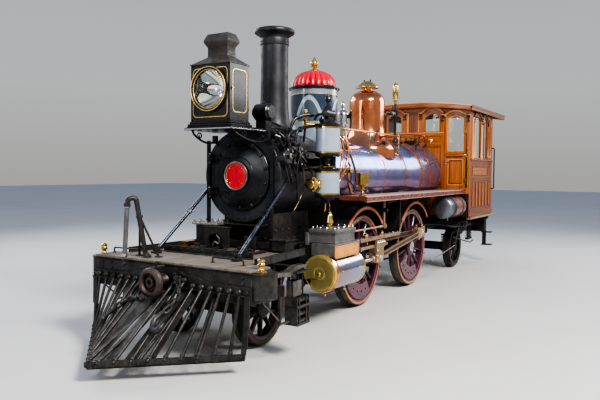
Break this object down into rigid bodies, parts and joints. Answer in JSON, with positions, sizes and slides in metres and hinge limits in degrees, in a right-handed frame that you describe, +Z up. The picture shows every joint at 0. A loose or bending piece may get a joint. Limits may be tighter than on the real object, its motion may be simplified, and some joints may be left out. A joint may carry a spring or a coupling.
{
  "type": "steam locomotive",
  "caption": "Small narrow-gauge steam locomotive without its tender: pilot, box headlight, domes, outside cylinders with rods, and a panelled wooden cab.",
  "frame": {"origin": "on the rail plane at the bottom of the wheel flanges, on the centre line, midway between the pilot's tip and the rear of the cab roof", "axes": "+X forward, +Y to the engine's left, +Z up"},
  "size_m": [9.943, 2.43, 3.626],
  "materials": {
    "weathered_iron": "matt, weathered",
    "black_paint": "satin",
    "graphite_black": "matt",
    "polished_steel": "polished",
    "rod_steel": "machined",
    "wheel_maroon": "gloss",
    "boiler_iron": "polished planished iron",
    "copper_trim": "polished copper",
    "brass_trim": "polished",
    "dome_blue": "gloss",
    "plate_red": "gloss",
    "board_brown": "satin",
    "splasher_orange": "gloss",
    "cab_wood": "varnished",
    "roof_wood": "varnished",
    "floor_wood": "worn",
    "window_glass": "clear",
    "lamp_glass": "clear",
    "tank_grey": "gloss",
    "pump_blue": "gloss"
  },
  "bodies": {
    "chassis": {"frame_left": "black_paint", "frame_right": "black_paint", "frame_cross": "black_paint", "front_beam": "weathered_iron", "front_deck": "weathered_iron", "pilot": "weathered_iron", "front_coupler": "weathered_iron", "air_pipe": "weathered_iron", "smokebox_braces": "polished_steel", "front_steps": "black_paint", "smokebox": "graphite_black", "chimney": "graphite_black", "cylinder_saddle": "black_paint", "cylinders": "polished_steel", "slide_bars": "rod_steel", "boiler": "boiler_iron", "sand_dome": "dome_blue", "steam_dome": "copper_trim", "safety_valve": "polished_steel", "whistle": "brass_trim", "headlight_shelf": "black_paint", "headlight_case": "black_paint", "headlight_lens": "lamp_glass", "handrails": "polished_steel", "running_boards": "board_brown", "splashers": "splasher_orange", "air_compressor": "pump_blue", "lubricator": "brass_trim", "air_tanks": "tank_grey", "cab_roof": "roof_wood", "cab_front": "cab_wood", "cab_glass": "window_glass", "cab_side_left": "cab_wood", "cab_side_right": "cab_wood", "cab_floor": "floor_wood", "backhead": "black_paint", "rear_beam": "black_paint"},
    "smokebox_door": {"smokebox_door": "graphite_black", "number_plate": "plate_red"},
    "front_driver": {"front_driver_wheels": "wheel_maroon", "front_driver_axle": "rod_steel"},
    "rear_driver": {"rear_driver_wheels": "wheel_maroon", "rear_driver_axle": "rod_steel"},
    "leading_truck": {"leading_truck": "black_paint"},
    "leading_wheelset": {"leading_wheels": "wheel_maroon", "leading_axle": "rod_steel"},
    "trailing_truck": {"trailing_truck": "black_paint"},
    "trailing_wheelset": {"trailing_wheels": "wheel_maroon", "trailing_axle": "rod_steel"},
    "side_rod_left": {"side_rod_left": "rod_steel"},
    "side_rod_right": {"side_rod_right": "rod_steel"},
    "crosshead_left": {"crosshead_left": "rod_steel"},
    "crosshead_right": {"crosshead_right": "rod_steel"},
    "main_rod_left": {"main_rod_left": "rod_steel"},
    "main_rod_right": {"main_rod_right": "rod_steel"},
    "cab_door_left": {"cab_door_left": "cab_wood", "door_glass_left": "window_glass"},
    "cab_door_right": {"cab_door_right": "cab_wood", "door_glass_right": "window_glass"}
  },
  "joints": [
    {"name": "front_driver_spin", "type": "hinge", "parent": "chassis", "child": "front_driver", "pos_m": [0.8185, 0, 0.65], "axis": [0, 1, 0], "continuous": true},
    {"name": "rear_driver_spin", "type": "hinge", "parent": "chassis", "child": "rear_driver", "pos_m": [-1.0555, 0, 0.65], "axis": [0, 1, 0], "continuous": true},
    {"name": "leading_truck_swing", "type": "hinge", "parent": "chassis", "child": "leading_truck", "pos_m": [2.7685, 0, 0.854], "axis": [0, 0, 1], "range_deg": [-4, 4]},
    {"name": "leading_wheel_spin", "type": "hinge", "parent": "leading_truck", "child": "leading_wheelset", "pos_m": [3.1685, 0, 0.408], "axis": [0, 1, 0], "continuous": true},
    {"name": "trailing_truck_swing", "type": "hinge", "parent": "chassis", "child": "trailing_truck", "pos_m": [-2.9315, 0, 0.854], "axis": [0, 0, 1], "range_deg": [-4, 4]},
    {"name": "trailing_wheel_spin", "type": "hinge", "parent": "trailing_truck", "child": "trailing_wheelset", "pos_m": [-3.4315, 0, 0.408], "axis": [0, 1, 0], "continuous": true},
    {"name": "side_rod_left_turn", "type": "hinge", "parent": "front_driver", "child": "side_rod_left", "pos_m": [0.74001, 0.674, 0.89157], "axis": [0, 1, 0], "continuous": true},
    {"name": "crosshead_left_slide", "type": "slide", "parent": "chassis", "child": "crosshead_left", "axis": [1, 0, 0], "range_m": [-0.1617, 0.3463]},
    {"name": "main_rod_left_swing", "type": "hinge", "parent": "crosshead_left", "child": "main_rod_left", "pos_m": [0.61806, 0.775, 0.67], "axis": [0, 1, 0], "range_deg": [-16.13, 0.41]},
    {"name": "side_rod_right_turn", "type": "hinge", "parent": "front_driver", "child": "side_rod_right", "pos_m": [1.06007, -0.674, 0.72849], "axis": [0, 1, 0], "continuous": true},
    {"name": "crosshead_right_slide", "type": "slide", "parent": "chassis", "child": "crosshead_right", "axis": [1, 0, 0], "range_m": [-0.4947, 0.0133]},
    {"name": "main_rod_right_swing", "type": "hinge", "parent": "crosshead_right", "child": "main_rod_right", "pos_m": [0.9511, -0.775, 0.67], "axis": [0, 1, 0], "range_deg": [-10.82, 5.72]},
    {"name": "smokebox_door_hinge", "type": "hinge", "parent": "chassis", "child": "smokebox_door", "pos_m": [2.8035, -0.428, 1.813], "axis": [0, 0, -1], "range_deg": [0, 100]},
    {"name": "cab_door_left_hinge", "type": "hinge", "parent": "chassis", "child": "cab_door_left", "pos_m": [-2.6715, 1.04, 2.178], "axis": [0, 0, 1], "range_deg": [0, 90]},
    {"name": "cab_door_right_hinge", "type": "hinge", "parent": "chassis", "child": "cab_door_right", "pos_m": [-2.6715, -1.04, 2.178], "axis": [0, 0, -1], "range_deg": [0, 90]}
  ],
  "couplings": [
    {"joint": "rear_driver_spin", "follows": "front_driver_spin", "ratio": 1},
    {"joint": "side_rod_left_turn", "follows": "front_driver_spin", "ratio": -1},
    {"joint": "side_rod_right_turn", "follows": "front_driver_spin", "ratio": -1}
  ]
}
